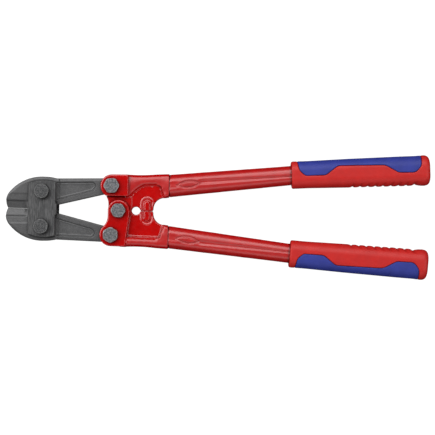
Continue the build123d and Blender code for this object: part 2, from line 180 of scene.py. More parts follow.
def surface(field, low, high, cell):
    """Vertices and quads where a field crosses zero, by the surface-net method."""
    axes = [np.arange(l, h + cell, cell) for l, h in zip(low, high)]
    values = field(axes[0][:, None, None], axes[1][None, :, None], axes[2][None, None, :])
    values = np.broadcast_to(values, [len(a) for a in axes]).copy()
    inside = values < 0
    total = np.zeros([len(a) - 1 for a in axes] + [3])
    count = np.zeros([len(a) - 1 for a in axes])
    quads = []
    for axis in range(3):
        u, v = (axis + 1) % 3, (axis + 2) % 3
        near, far = [slice(None)] * 3, [slice(None)] * 3
        near[axis], far[axis] = slice(0, -1), slice(1, None)
        near, far = tuple(near), tuple(far)
        where = np.argwhere(inside[near] != inside[far])
        a, b = values[near][tuple(where.T)], values[far][tuple(where.T)]
        place = where.astype(float)
        place[:, axis] += a / (a - b)
        cells = []
        for step_u, step_v in ((0, 0), (1, 0), (1, 1), (0, 1)):
            cell_index = where.copy()
            cell_index[:, u] -= step_u
            cell_index[:, v] -= step_v
            np.add.at(total, tuple(cell_index.T), place)
            np.add.at(count, tuple(cell_index.T), 1)
            cells.append(cell_index)
        ring = np.stack(cells, 1)
        backwards = ~inside[near][tuple(where.T)]
        ring[backwards] = ring[backwards][:, ::-1]
        quads.append(ring)
    used = count > 0
    number = np.full(count.shape, -1)
    number[used] = np.arange(used.sum())
    vertices = total[used] / count[used][:, None] * cell + np.array([a[0] for a in axes])
    ring = np.concatenate(quads)
    return vertices, number[ring[..., 0], ring[..., 1], ring[..., 2]]


def mesh_piece(name, vertices, quads, body, node, slot, mirrored=False):
    """Mesh object from millimetres about the mid plane, riding on a body for a CAD node."""
    points = vertices * MM
    points[:, 2] += MID_Z
    if mirrored:
        points[:, 1] *= -1
        quads = quads[:, ::-1]
    mesh = bpy.data.meshes.new(name)
    mesh.vertices.add(len(points))
    mesh.vertices.foreach_set("co", points.astype(np.float32).ravel())
    mesh.loops.add(quads.size)
    mesh.loops.foreach_set("vertex_index", quads.astype(np.int32).ravel())
    mesh.polygons.add(len(quads))
    mesh.polygons.foreach_set("loop_start", np.arange(0, quads.size, 4, dtype=np.int32))
    mesh.update(calc_edges=True)
    mesh.validate()
    mesh.shade_smooth()
    piece = bpy.data.objects.new(name, mesh)
    scene.collection.objects.link(piece)
    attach(piece, body)
    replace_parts(piece, node)
    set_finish(piece, slot)


# ---------------------------------------------------------------- handle heads
# Both heads are drawn as the upper one; the lower one is mirrored when its mesh is made.

TAIL_PIVOT = (-115.2, 26.6)
CENTRE_PIVOT = (-107.4, 0.0)
HOLE_RADIUS = 5.05
HEAD_CELL = 0.5

EAR_RADIUS = 12.3
EAR_TOP_Y = 38.9
EAR_MIDDLE_ANGLE = 160
EAR_END_X = -97.3
EAR_FOOT_Y = 15.6
NECK_ANGLE = 226.8
NECK_MIDDLE = (-119.86, 12.0)
NECK_START_Y = 6.71
FLANK_X = -118.9
CHEEK_RADIUS = 11.5
SEAM_X = -53.3
SPLIT_Y = 0.03

# From the mid plane to each face
STACK_HALF = 11.65
SLOT_HALF = 5.65
TONGUE_HALF = 5.5
WEB_HALF = 4.5
RIB_HALF = 8.2
BOSS_HALF = 6.5
RIM_HALF = 5.1
PAD_HALF = 7.5

UPPER_RIB_START_X = -101.0
LOWER_RIB_START_X = -105.0
RIB_SWELL = 3.2
RIB_SWELL_X = (-107.0, -86.0)
RIB_CROWN = 1.9
RIB_LEAST_WIDTH = 4.0
RIB_BLEND = 4.0
BEAD_INSET = 1.1
BEAD_EDGE_INSET = 1.0
BEAD_HALF_WIDTH = 0.4
BEAD_HEIGHT = 0.45

BOSS = (-76.8, 0.0)
BOSS_SIZE = (22.6, 7.0)
BOSS_BLEND = 2.2
RIM_SIZE = (29.2, 12.8)
RIM_HALF_WIDTH = 0.7
RIM_EDGE_INSET = 0.3
EYE = (-88.9, 0.0)
EYE_RADIUS = 4.6
EYE_STRETCH = (1.04, 0.94)

SOCKET_Y = 27.9
SOCKET_SLOPE = 0.1096
SOCKET_WIDTH = 25.2
SOCKET_HALF_WIDTH = 12.6
SOCKET_THICKNESS = 16.4
SOCKET_CORNER = 7.4
SOCKET_CROWN = 2.6
SOCKET_LENGTH = 14.0
SOCKET_START_BLEND = 4.0
SOCKET_PANEL_GAP = 0.4
PADS = ((-57.0, 19.4), (-58.6, 25.2))
PAD_RADIUS = 1.9

SLOT_X = -104.1
SLOT_FOOT_Y = 15.5
SLOT_RADIUS = 12.6
TONGUE_END_X = -93.5
TONGUE_TOP_Y = 15.4
LUG_RADIUS = 10.4
TONGUE_HOLE_RADIUS = 7.3


def ear_and_neck():
    """The ear's round and the hollow neck down to the flank."""
    top = (TAIL_PIVOT[0], EAR_TOP_Y)
    neck_top = around(TAIL_PIVOT, EAR_RADIUS, NECK_ANGLE)
    ear = arc(top, around(TAIL_PIVOT, EAR_RADIUS, EAR_MIDDLE_ANGLE), neck_top)
    return ear + arc(neck_top, NECK_MIDDLE, (FLANK_X, NECK_START_Y), 6)


def head_points():
    """Outline of the whole head, from the boss round to the flank."""
    return (
        arc((-70.2, 3.0), (-67.4, 10.2), (-58.5, 14.7))
        + [(-58.5, 14.7), (-48.3, 16.0), (-48.3, 40.9)]
        + arc((-68.0, 39.8), (-84.0, 38.8), (-99.0, 39.1), 8)
        + [(-99.0, 39.1)]
        + ear_and_neck()
        + [(FLANK_X, NECK_START_Y), (FLANK_X, -6.0), (-71.0, -6.0), (-71.0, 0.4), (-70.2, 1.4)]
    )


def upper_panel_points():
    """Outline of the upper head's recessed web."""
    return (
        [(-130.0, -5.0), (-130.0, 13.0)]
        + arc((-96.4, 13.0), (-89.8, 20.8), (-80.0, 27.2))
        + [(-80.0, 27.2)]
        + arc((-65.2, 27.9), (-62.7, 27.0), (-61.6, 24.4), 5)
        + [(-61.6, 24.4), (-58.8, 14.7), (-58.8, -5.0)]
    )


def lower_panel_points():
    """Outline of the lower head's recessed web."""
    return (
        [(-104.0, -5.0), (-104.0, 28.2)]
        + arc((-64.2, 29.0), (-62.5, 28.3), (-61.8, 26.6), 5)
        + [(-61.8, 26.6), (-58.8, 14.7), (-58.8, -5.0)]
    )


def cheek_points():
    """Outline of the lower head's two fork cheeks."""
    cheek_low = around(CENTRE_PIVOT, CHEEK_RADIUS, -90)
    cheek_right = around(CENTRE_PIVOT, CHEEK_RADIUS, 0)
    return (
        ear_and_neck()
        + [(FLANK_X, NECK_START_Y)]
        + arc((FLANK_X, 0.0), cheek_low, cheek_right, 24)
        + [(-95.2, 0.0), (-95.5, 5.0), (-98.6, 29.5), (-99.6, 39.1)]
    )


def from_point(x, y, point):
    """Distance in the plane from a point."""
    return np.hypot(x - point[0], y - point[1])


def rib_field(x, up, outline, panel, lower):
    """Crowned rib round the panel, which swells into the cheek on the lower head."""
    start = LOWER_RIB_START_X if lower else UPPER_RIB_START_X
    swell = RIB_SWELL * (1 - smooth_step(x, *RIB_SWELL_X)) if lower else 0.0
    band = soft_max(soft_max(outline, -panel, SMALL_BLEND), start - x, THIN_BLEND)
    place = (panel + outline) / np.maximum(panel - outline, RIB_LEAST_WIDTH)
    crown = RIB_CROWN * np.clip(place, -1.0, 1.0) ** 2
    return soft_max(band, up + crown - (RIB_HALF + swell), RIB_BLEND)


def bead_field(up, outline, panel):
    """Fine bead inside the edge of the panel."""
    line = np.abs(panel + BEAD_INSET) - BEAD_HALF_WIDTH
    line = soft_max(line, outline + BEAD_EDGE_INSET, HAIR_BLEND)
    return soft_max(line, up - WEB_HALF - BEAD_HEIGHT, FINE_BLEND)


def boss_field(x, y, up):
    """Stop boss between the heads."""
    return soft_max(bar_field(x, y, BOSS, *BOSS_SIZE), up - BOSS_HALF, BOSS_BLEND)


def rim_field(x, y, up, outline):
    """Raised rim round the boss."""
    line = np.abs(bar_field(x, y, BOSS, *RIM_SIZE)) - RIM_HALF_WIDTH
    line = soft_max(line, outline + RIM_EDGE_INSET, HAIR_BLEND)
    return soft_max(line, up - RIM_HALF, SOFT_BLEND)


def socket_field(x, y, up, panel):
    """Oval swelling that the tube runs on from."""
    middle = y - SOCKET_Y - SOCKET_SLOPE * (x - SEAM_X)
    crowned = up + SOCKET_CROWN * (middle / SOCKET_HALF_WIDTH) ** 2
    socket = oval_field(middle, crowned, SOCKET_WIDTH, SOCKET_THICKNESS, SOCKET_CORNER)
    socket = soft_max(socket, SEAM_X - SOCKET_LENGTH - x, SOCKET_START_BLEND)
    return soft_max(socket, SOCKET_PANEL_GAP - panel, SOFT_BLEND)


def head_field(x, y, z, lower):
    """A whole handle head with its slot and holes."""
    up = np.abs(z)
    outline = outline_field(x, y, head_points())
    panel = outline_field(x, y, lower_panel_points() if lower else upper_panel_points())
    body = soft_max(outline, up - WEB_HALF, FULL_BLEND)
    body = soft_min(body, rib_field(x, up, outline, panel, lower), PLAIN_BLEND)
    body = soft_min(body, bead_field(up, outline, panel), CRISP_BLEND)
    body = soft_min(body, boss_field(x, y, up), PLAIN_BLEND)
    body = soft_min(body, rim_field(x, y, up, outline), THIN_BLEND)
    body = soft_max(body, SPLIT_Y - y, CRISP_BLEND)
    body = soft_min(body, socket_field(x, y, up, panel), SOFT_BLEND)
    for place in PADS:
        pad = soft_max(from_point(x, y, place) - PAD_RADIUS, up - PAD_HALF, FULL_BLEND)
        body = soft_min(body, pad, SOFT_BLEND)

    if lower:
        # Both cheeks of the fork, with room for the jaw's tail and the other head's tongue
        cheek = soft_max(outline_field(x, y, cheek_points()), up - STACK_HALF, FULL_BLEND)
        body = soft_min(body, cheek, FULL_BLEND)
        slot = np.minimum(x - SLOT_X, from_point(x, y, CENTRE_PIVOT) - SLOT_RADIUS)
    else:
        # Forked ear for the jaw's tail, and the tongue with its oversize hole
        ear_area = np.maximum(x - EAR_END_X, EAR_FOOT_Y - y)
        ear = soft_max(soft_max(outline, ear_area, PLAIN_BLEND), up - STACK_HALF, FULL_BLEND)
        body = soft_min(body, ear, CRISP_BLEND)
        tongue_area = np.maximum(np.maximum(outline, y - TONGUE_TOP_Y), x - TONGUE_END_X)
        lug = from_point(x, y, CENTRE_PIVOT) - LUG_RADIUS
        tongue = soft_max(np.minimum(tongue_area, lug), up - TONGUE_HALF, SMALL_BLEND)
        body = np.minimum(body, tongue)
        hole = TONGUE_HOLE_RADIUS - from_point(x, y, CENTRE_PIVOT)
        body = soft_max(body, hole, HAIR_BLEND)
        slot = np.maximum(x - SLOT_X, SLOT_FOOT_Y - y)
    body = soft_max(body, -np.maximum(slot, up - SLOT_HALF), CRISP_BLEND)

    for centre in (TAIL_PIVOT, CENTRE_PIVOT) if lower else (TAIL_PIVOT,):
        body = np.maximum(body, HOLE_RADIUS - from_point(x, y, centre))
    eye = EYE_RADIUS - np.hypot((x - EYE[0]) / EYE_STRETCH[0], (y - EYE[1]) / EYE_STRETCH[1])
    body = soft_max(body, eye, SOFT_BLEND)
    return soft_max(body, x - SEAM_X, SEAM_BLEND)


HEAD_LOW = (-129.0, -13.0, -12.6)
HEAD_HIGH = (SEAM_X + 1.0, 42.0, 12.6)
for half_name, is_lower in (("upper", False), ("lower", True)):
    points, quads = surface(
        lambda x, y, z: head_field(x, y, z, is_lower), HEAD_LOW, HEAD_HIGH, HEAD_CELL
    )
    mesh_piece(
        f"{half_name}_head_casting", points, quads,
        f"{half_name}_handle", f"{half_name}_handle_head", "red_enamel", is_lower,
    )

# ---------------------------------------------------------------- jaws
# Drawn as the upper jaw; the lower one is mirrored when its mesh is made.

JAW_PIVOT = (-190.5, 19.1)
JAW_HALF = 6.5
TAIL_HALF = 5.5
TAIL_START = -172.6
TAIL_STEP_HALF = 0.3
PARTING = 0.1
PLATE_LEFT_X = -205.3
BACK_BEVEL = 2.6
BACK_BEVEL_DROP = 1.1
JAW_CELL = 0.5
JAW_LOW = (-232.0, -1.5, -7.5)
JAW_HIGH = (-105.0, 37.0, 7.5)

PANEL_START_X = (-175.6, -174.6)
PANEL_DEPTH = 1.3
PANEL_WALL = 0.7
PANEL_BEAD_INSET = 1.9
PANEL_BEAD_WIDTH = 0.5
PANEL_BEAD_HEIGHT = 0.35

# Half thickness of the blade by distance from the parting line, and the same where the blade
# rises towards the link plates
BLADE_Y = (-1.0, 0.5, 7.3, 9.2, 15.7, 16.3)
BLADE_HALVES = (0.9, 1.2, 3.6, 5.6, 6.05, 6.5)
RAISED_Y = (-1.0, 7.3, 9.2, 15.7, 16.3)
RAISED_HALVES = (4.6, 5.0, 5.6, 6.05, 6.5)
RISE_START_X = -211.5
RISE_END_GAP = 0.6
BLADE_OVERLAP = 1.0
NO_LIMIT = 99.0

jaw_back = (
    arc((-228.6, PARTING), (-230.3, 8.0), (-227.8, 16.2))
    + arc((-227.8, 16.2), (-211.2, 30.1), (-188.2, 34.9), 20)
    + arc((-188.2, 34.9), (-181.6, 34.5), (-175.5, 33.3), 6)
    + [(-175.5, 33.3)]
)
jaw_points = (
    jaw_back
    + arc((-115.2, 34.9), (-106.4, 26.6), around(TAIL_PIVOT, 8.8, -113))
    + [around(TAIL_PIVOT, 8.8, -113), (TAIL_START, 5.0), (-190.5, PARTING)]
)
bevel_points = jaw_back + [(-115.2, 34.9), (-95.0, 35.4), (-95.0, -80.0), (-228.6, -80.0)]
tail_panel = rounded((
    (-180.0, 29.1, 0), (-135.0, 30.4, 4.4), (-131.2, 25.2, 4.0), (-136.4, 20.0, 2.5), (-180.0, 8.3, 0),
))


def jaw_field(x, y, z):
    """One jaw with its blade, tail and two pivot holes."""
    outline = outline_field(x, y, jaw_points)
    back = outline_field(x, y, bevel_points)
    tail_share = smooth_step(x, TAIL_START - TAIL_STEP_HALF, TAIL_START + TAIL_STEP_HALF)
    half = JAW_HALF + (TAIL_HALF - JAW_HALF) * tail_share
    top = half - BACK_BEVEL_DROP * np.clip(1 + back / BACK_BEVEL, 0.0, 1.0)

    # Recessed panel on the tail, with a low bead inside its edge
    panel = outline_field(x, y, tail_panel)
    on_tail = smooth_step(x, *PANEL_START_X)
    top = top - PANEL_DEPTH * on_tail * (1 - smooth_step(panel, -PANEL_WALL, 0.0))
    bead = np.exp(-(((panel + PANEL_BEAD_INSET) / PANEL_BEAD_WIDTH) ** 2))
    top = top + PANEL_BEAD_HEIGHT * on_tail * bead

    # Ground bevels of the blade: a fine step, a shallow bevel, a short steep one and the flank
    bevel = np.interp(y, BLADE_Y, BLADE_HALVES)
    raised = np.interp(y, RAISED_Y, RAISED_HALVES)
    rise = smooth_step(x, RISE_START_X, PLATE_LEFT_X - RISE_END_GAP)
    bevel = bevel + (raised - bevel) * rise
    top = np.minimum(top, np.where(x < PLATE_LEFT_X + BLADE_OVERLAP, bevel, NO_LIMIT))
    body = soft_max(outline, np.abs(z) - top, FINE_BLEND)
    for hole in (JAW_PIVOT, TAIL_PIVOT):
        body = np.maximum(body, HOLE_RADIUS - from_point(x, y, hole))
    return body


points, quads = surface(jaw_field, JAW_LOW, JAW_HIGH, JAW_CELL)
for half_name in ("upper", "lower"):
    mesh_piece(
        f"{half_name}_forged_jaw", points.copy(), quads,
        f"{half_name}_jaw", f"{half_name}_jaw", "forged_steel", half_name == "lower",
    )

# ---------------------------------------------------------------- handle tubes

TUBE_X = (SEAM_X, 84.0, 214.0)
TUBE_Y = (27.9, 42.95, 50.95)
TUBE_WIDTHS = (25.2, 21.7, 20.8)
TUBE_THICKNESSES = (16.4, 15.0, 14.6)
TUBE_CROWN = 3.0
TUBE_CORNER_INSET = 0.8
SEAM_GAP = 0.12
TUBE_CELL = 0.6
TUBE_LOW = (SEAM_X - 1.5, -14.0, -9.6)
TUBE_HIGH = (TUBE_X[2] + 1.5, 14.0, 9.6)

CHANNEL_X = -19.0
CHANNEL_LENGTH = 98.0
CHANNEL_SHARES = (-0.4, 1.0)
CHANNEL_OFFSET = 1.1
CHANNEL_SKEW = 2.4
CHANNEL_HALF_WIDTH = 2.3
CHANNEL_NARROWING = 1.3
CHANNEL_DEPTH = 1.3
CHANNEL_FADE_X = (-24.0, -17.0)
CHANNEL_FLATTENING = 0.35

LOZENGE_X = -32.2
RECESS_SIZE = (13.6, 4.6)
RECESS_DEPTH = 1.0
RECESS_WALL = (-0.7, 0.3)
RAISED_SIZE = (10.6, 2.6)
RAISED_HEIGHT = 0.9
RAISED_WALL = (-0.7, 0.4)
DENT_DEPTH = 0.7
DENT_HALF_WIDTH = 3.4
DENT_END_X = (-46.0, -41.0)


def lozenge(along, across, half_length, half_width):
    """Pointed almond: the overlap of two big rounds."""
    bulge = (half_length**2 - half_width**2) / (2 * half_width)
    reach = bulge + half_width
    return np.hypot(along, np.abs(across) + bulge) - reach


def tube_field(x, t, z):
    """Oval tube with a channel down each face; t is measured from the tube's middle line."""
    width, thickness = np.interp(x, TUBE_X, TUBE_WIDTHS), np.interp(x, TUBE_X, TUBE_THICKNESSES)
    crowned = np.abs(z) + TUBE_CROWN * (2 * t / width) ** 2
    body = oval_field(t, crowned, width, thickness, thickness / 2 - TUBE_CORNER_INSET)

    # Channel, slightly skewed across the tube, that narrows towards the grip
    share = np.clip((x - CHANNEL_X) / CHANNEL_LENGTH, *CHANNEL_SHARES)
    offset = t - (CHANNEL_OFFSET - CHANNEL_SKEW * share)
    half_width = CHANNEL_HALF_WIDTH - CHANNEL_NARROWING * np.clip(share, 0.0, 1.0)
    channel = CHANNEL_DEPTH * np.exp(-np.abs(offset / half_width) ** 3)
    fade = smooth_step(x, *CHANNEL_FADE_X)
    body = body + channel * fade * (1 - CHANNEL_FLATTENING * share)

    # Almond-shaped recess by the seam with a blank raised almond in it, and a dent beside them
    near = x - LOZENGE_X
    recess = lozenge(near, t, *RECESS_SIZE)
    raised = lozenge(near, t, *RAISED_SIZE)
    dip = RECESS_DEPTH * (1 - smooth_step(recess, *RECESS_WALL))
    dip = dip - RAISED_HEIGHT * (1 - smooth_step(raised, *RAISED_WALL))
    dent = DENT_DEPTH * np.exp(-((t / DENT_HALF_WIDTH) ** 4)) * (1 - smooth_step(x, *DENT_END_X))
    body = body + dip + dent
    body = soft_max(body, SEAM_X + SEAM_GAP - x, SEAM_BLEND)
    return np.maximum(body, x - TUBE_X[2])


points, quads = surface(tube_field, TUBE_LOW, TUBE_HIGH, TUBE_CELL)
points[:, 1] += np.interp(points[:, 0], TUBE_X, TUBE_Y)
for half_name in ("upper", "lower"):
    mesh_piece(
        f"{half_name}_arm_tube", points.copy(), quads,
        f"{half_name}_handle", f"{half_name}_handle_tube", "red_enamel", half_name == "lower",
    )

# ---------------------------------------------------------------- grips

GRIP_START = (79.3, 42.79)
GRIP_ANGLE = radians(3.4)
GRIP_LENGTH = 150.6
GRIP_CELL = 0.6
GRIP_CORNER_INSET = 1.5
GRIP_LOW = (-2.0, -18.5, -15.5)
GRIP_HIGH = (GRIP_LENGTH + 1.5, 18.5, 15.5)
END_DOME = 0.0016
END_BLEND = 7.0
START_BLEND = 2.2
BORE_SIZE = (21.8, 15.0, 6.6)
BORE_SLOPE = 0.018
BORE_DEPTH = 40.0
INLAY_DEPTH = 2.4
INLAY_GAP = 0.14
INLAY_FLOOR_GAP = 0.2
INLAY_EDGE_BLEND = 0.9

FLUTE_COUNT = 9
FLUTE_START = 66.6
FLUTE_STEP = 8.4
FLUTE_SLANT = 0.6
FLUTE_MIDDLE_T = -14.5
FLUTE_DEPTH = 1.15
FLUTE_WIDTH = 1.5
FLUTE_REACH = (-14.6, -11.4)
HOLLOW_AT = 135.0
HOLLOW_DEPTH = 0.7
HOLLOW_WIDTH = 3.0

SIZE_AT = (0.0, 17.0, 61.0, 119.0, 138.0, 143.5, 147.0, 161.0)
WIDTHS = (29.9, 29.6, 31.3, 32.4, 32.3, 33.6, 33.4, 33.0)
THICKNESSES = (24.6, 25.0, 26.2, 27.0, 27.1, 28.1, 28.0, 28.0)
SMOOTHING_SHIFTS = (-4.0, -2.0, 0.0, 2.0, 4.0)

inlay_points = rounded((
    (5.4, 22.0, 0), (8.4, 4.6, 8.0), (14.6, -1.5, 6.0), (36.8, -1.6, 7.0), (50.4, 8.2, 8.0),
    (101.6, 7.0, 12.0), (115.6, -1.6, 9.0), (134.4, -2.1, 8.0), (140.4, 5.0, 9.0), (141.6, 22.0, 0),
))


def size_along(s, sizes):
    """Smoothed width or thickness of the grip at each distance."""
    total = 0.0
    for shift in SMOOTHING_SHIFTS:
        total = total + np.interp(s + shift, SIZE_AT, sizes)
    return total / len(SMOOTHING_SHIFTS)


def grip_body(s, t, z):
    """The whole grip, before the inlay is parted from it."""
    width, thickness = size_along(s, WIDTHS), size_along(s, THICKNESSES)
    body = oval_field(t, z, width, thickness, thickness / 2 - GRIP_CORNER_INSET)
    # Slanted finger flutes on the inner edge
    reach = 1 - smooth_step(t, *FLUTE_REACH)
    for index in range(FLUTE_COUNT):
        lean = s - (FLUTE_START + FLUTE_STEP * index) - FLUTE_SLANT * (t - FLUTE_MIDDLE_T)
        body = body + FLUTE_DEPTH * reach * np.exp(-((lean / FLUTE_WIDTH) ** 2))
    # A shallow hollow just before the flared end
    return body + HOLLOW_DEPTH * reach * np.exp(-(((s - HOLLOW_AT) / HOLLOW_WIDTH) ** 2))


def grip_ends(s, body):
    """The grip cut to its length, with a domed end."""
    body = soft_max(body, s - GRIP_LENGTH + END_DOME * body**2, END_BLEND)
    return soft_max(body, -s, START_BLEND)


def grip_field(s, t, z):
    """The hard part of the grip, with a pocket for the inlay and a bore for the tube."""
    body = grip_body(s, t, z)
    inlay = outline_field(s, t, inlay_points)
    pocket = soft_max(inlay - INLAY_GAP, -(body + INLAY_DEPTH), CRISP_BLEND)
    grip = soft_max(grip_ends(s, body), -pocket, FINE_BLEND)
    bore = oval_field(t + BORE_SLOPE * s, z, *BORE_SIZE)
    return np.maximum(grip, -np.maximum(bore, s - BORE_DEPTH))


def inlay_field(s, t, z):
    """The soft inlay, flush with the grip's surface."""
    body = grip_body(s, t, z)
    inlay = outline_field(s, t, inlay_points)
    skin = soft_max(body, -(body + INLAY_DEPTH - INLAY_FLOOR_GAP), HAIR_BLEND)
    return soft_max(skin, inlay + INLAY_GAP, INLAY_EDGE_BLEND)


along = np.array((cos(GRIP_ANGLE), sin(GRIP_ANGLE), 0.0))
across = np.array((-sin(GRIP_ANGLE), cos(GRIP_ANGLE), 0.0))
for node, field, slot in (
    ("grip", grip_field, "red_grip"),
    ("grip_inlay", inlay_field, "blue_inlay"),
):
    points, quads = surface(field, GRIP_LOW, GRIP_HIGH, GRIP_CELL)
    placed = (
        np.array((*GRIP_START, 0.0))
        + points[:, :1] * along
        + points[:, 1:2] * across
        + points[:, 2:] * np.array((0.0, 0.0, 1.0))
    )
    for half_name in ("upper", "lower"):
        mesh_piece(
            f"{half_name}_moulded_{node}", placed.copy(), quads,
            f"{half_name}_handle", f"{half_name}_{node}", slot, half_name == "lower",
        )

# ---------------------------------------------------------------- node helpers

EDGE_SAMPLES = 4
SHADE_SAMPLES = 8


class Nodes:
    """Short ways to add linked shader nodes to one material."""

    def __init__(self, name):
        self.material = bpy.data.materials.new(name)
        self.material.use_nodes = True
        self.tree = self.material.node_tree
        self.shader = self.tree.nodes["Principled BSDF"]
        self.point = self.add("ShaderNodeTexCoord").outputs["Object"]

    def add(self, kind, **settings):
        node = self.tree.nodes.new(kind)
        for key, value in settings.items():
            setattr(node, key, value)
        return node

    def link(self, source, target):
        self.tree.links.new(source, target)

    def put(self, node, name, value):
        """Links or sets one input."""
        if isinstance(value, bpy.types.NodeSocket):
            self.link(value, node.inputs[name])
        else:
            node.inputs[name].default_value = value

    def math(self, operation, a, b=0.5, c=0.5, clamp=False):
        node = self.add("ShaderNodeMath", operation=operation, use_clamp=clamp)
        for index, value in enumerate((a, b, c)):
            self.put(node, index, value)
        return node.outputs[0]

    def mix(self, factor, a, b):
        node = self.add("ShaderNodeMix", data_type="RGBA")
        self.put(node, "Factor", factor)
        for name, value in (("A", a), ("B", b)):
            socket = [s for s in node.inputs if s.name == name and s.type == "RGBA"][0]
            if isinstance(value, bpy.types.NodeSocket):
                self.link(value, socket)
            else:
                socket.default_value = (*value, 1.0)
        return [s for s in node.outputs if s.type == "RGBA"][0]

    def stretched(self, scale):
        node = self.add("ShaderNodeMapping")
        node.inputs["Scale"].default_value = scale
        self.link(self.point, node.inputs["Vector"])
        return node.outputs[0]

    def noise(self, size, detail=3.0, rough=0.55, point=None):
        """Noise whose features are about one size across, in metres."""
        node = self.add("ShaderNodeTexNoise")
        self.link(point or self.point, node.inputs["Vector"])
        node.inputs["Scale"].default_value = 1.0 / size
        node.inputs["Detail"].default_value = detail
        node.inputs["Roughness"].default_value = rough
        return node.outputs[0]

    def ramp(self, value, low, high, out_low=0.0, out_high=1.0):
        """Maps low..high straight onto out_low..out_high and holds it there beyond."""
        node = self.add("ShaderNodeMapRange", clamp=True)
        self.link(value, node.inputs["Value"])
        for name, number in (
            ("From Min", low),
            ("From Max", high),
            ("To Min", out_low),
            ("To Max", out_high),
        ):
            node.inputs[name].default_value = number
        return node.outputs[0]

    def bump(self, height, distance, strength):
        node = self.add("ShaderNodeBump")
        self.link(height, node.inputs["Height"])
        node.inputs["Distance"].default_value = distance
        node.inputs["Strength"].default_value = strength
        return node.outputs[0]

    def edge(self, radius):
        """About 0 on flat areas, towards 1 on outer edges and in inner corners."""
        bevel = self.add("ShaderNodeBevel", samples=EDGE_SAMPLES)
        bevel.inputs["Radius"].default_value = radius
        geometry = self.add("ShaderNodeNewGeometry")
        dot = self.add("ShaderNodeVectorMath", operation="DOT_PRODUCT")
        self.link(bevel.outputs[0], dot.inputs[0])
        self.link(geometry.outputs["Normal"], dot.inputs[1])
        return self.math("SUBTRACT", 1.0, dot.outputs["Value"], clamp=True)

    def height_over_middle(self):
        """Distance from the tool's mid plane, towards either face."""
        split = self.add("ShaderNodeSeparateXYZ")
        self.link(self.point, split.inputs[0])
        return self.math("ABSOLUTE", self.math("SUBTRACT", split.outputs["Z"], MID_Z))

    def shade(self, distance):
        """1 in the open and towards 0 deep in corners and gaps."""
        node = self.add("ShaderNodeAmbientOcclusion", samples=SHADE_SAMPLES)
        node.inputs["Distance"].default_value = distance
        return node.outputs["AO"]


ENAMEL = (0.45, 0.0008, 0.0006)
ENAMEL_BLOTCH = (0.39, 0.0005, 0.0004)
# Dark red that the coat turns to as painted shade in corners, gaps and round the bolts
ENAMEL_SHADOW = (0.1, 0.0, 0.0)
RIB_ROUGHNESS = 0.33
RIB_FOOT = (6.7 * MM, 7.3 * MM)
RIB_TOP = (9.4 * MM, 10.4 * MM)
BLOTCH_RANGE = (0.35, 0.65)


def enamel_material(name, rough, gloss):
    """Red coat, duller on the raised ribs than on the webs and the cheeks, with painted shade in
    corners, gaps and round the bolts.
    """
    n = Nodes(name)
    blotch = n.ramp(n.noise(9 * MM), *BLOTCH_RANGE)
    colour = n.mix(blotch, ENAMEL, ENAMEL_BLOTCH)
    # Painted shade: the coat darkens in corners, gaps and round the bolts, by ambient occlusion
    unshaded = n.ramp(n.shade(3.6 * MM), 0.45, 0.92)
    colour = n.mix(unshaded, ENAMEL_SHADOW, colour)
    n.put(n.shader, "Base Color", colour)
    peel = n.noise(1.3 * MM, 2.0)
    height = n.height_over_middle()
    on_rib = n.math("SUBTRACT", n.ramp(height, *RIB_FOOT), n.ramp(height, *RIB_TOP))
    patch = n.ramp(n.noise(4 * MM), 0.3, 0.7, 0.0, 0.06)
    coat = n.ramp(on_rib, 0.0, 1.0, rough, RIB_ROUGHNESS)
    n.put(n.shader, "Roughness", n.math("ADD", patch, coat))
    n.put(n.shader, "Normal", n.bump(peel, 0.008 * MM, 0.5))
    n.shader.inputs["Specular IOR Level"].default_value = gloss
    return n.material


def steel_material(name, base, wear_and_highlight, rough, metallic, grain, contrast, brushed=1.0, rim=0.5):
    """Dark steel with a fine grain, lighter on edges that are rim millimetres wide, partly as wear and
    partly as a painted highlight, and darker in corners as painted shade.
    """
    n = Nodes(name)
    fine = n.noise(grain, 5.0, 0.65, n.stretched((1.0, brushed, 1.0)))
    broad = n.noise(14 * grain, 3.0)
    colour = n.mix(n.ramp(broad, *BLOTCH_RANGE), base, tuple(0.82 * c for c in base))
    colour = n.mix(n.ramp(fine, 0.42, 0.64, 0.0, contrast), colour, wear_and_highlight)
    # Lighter edges: partly wear, partly a painted highlight that stands in for lit chamfers
    wear_and_highlight_mask = n.ramp(n.edge(rim * MM), 0.01, 0.1, 0.0, 0.9)
    colour = n.mix(wear_and_highlight_mask, colour, wear_and_highlight)
    # Painted shade: the steel darkens in corners and gaps, beside the plates' edges and round the
    # bolts
    unshaded = n.ramp(n.shade(3.4 * MM), 0.35, 0.9)
    colour = n.mix(unshaded, tuple(0.15 * c for c in base), colour)
    n.put(n.shader, "Base Color", colour)
    n.put(n.shader, "Roughness", n.ramp(fine, 0.3, 0.7, rough, rough + 0.14))
    n.shader.inputs["Metallic"].default_value = metallic
    n.put(n.shader, "Normal", n.bump(fine, 0.08 * MM, 0.7))
    return n.material


def plastic_material(name, base, blotch, rough, gloss):
    """Moulded plastic with a fine spark texture and painted shade in corners and gaps."""
    n = Nodes(name)
    colour = n.mix(n.ramp(n.noise(12 * MM), *BLOTCH_RANGE), base, blotch)
    # Painted shade: the plastic darkens in corners and gaps, by ambient occlusion
    unshaded = n.ramp(n.shade(2.0 * MM), 0.4, 0.85)
    colour = n.mix(unshaded, tuple(0.35 * c for c in base), colour)
    n.put(n.shader, "Base Color", colour)
    spark = n.noise(0.5 * MM, 2.0)
    n.put(n.shader, "Roughness", n.ramp(n.noise(5 * MM), 0.3, 0.7, rough, rough + 0.1))
    n.put(n.shader, "Normal", n.bump(spark, 0.03 * MM, 0.6))
    n.shader.inputs["Specular IOR Level"].default_value = gloss
    return n.material
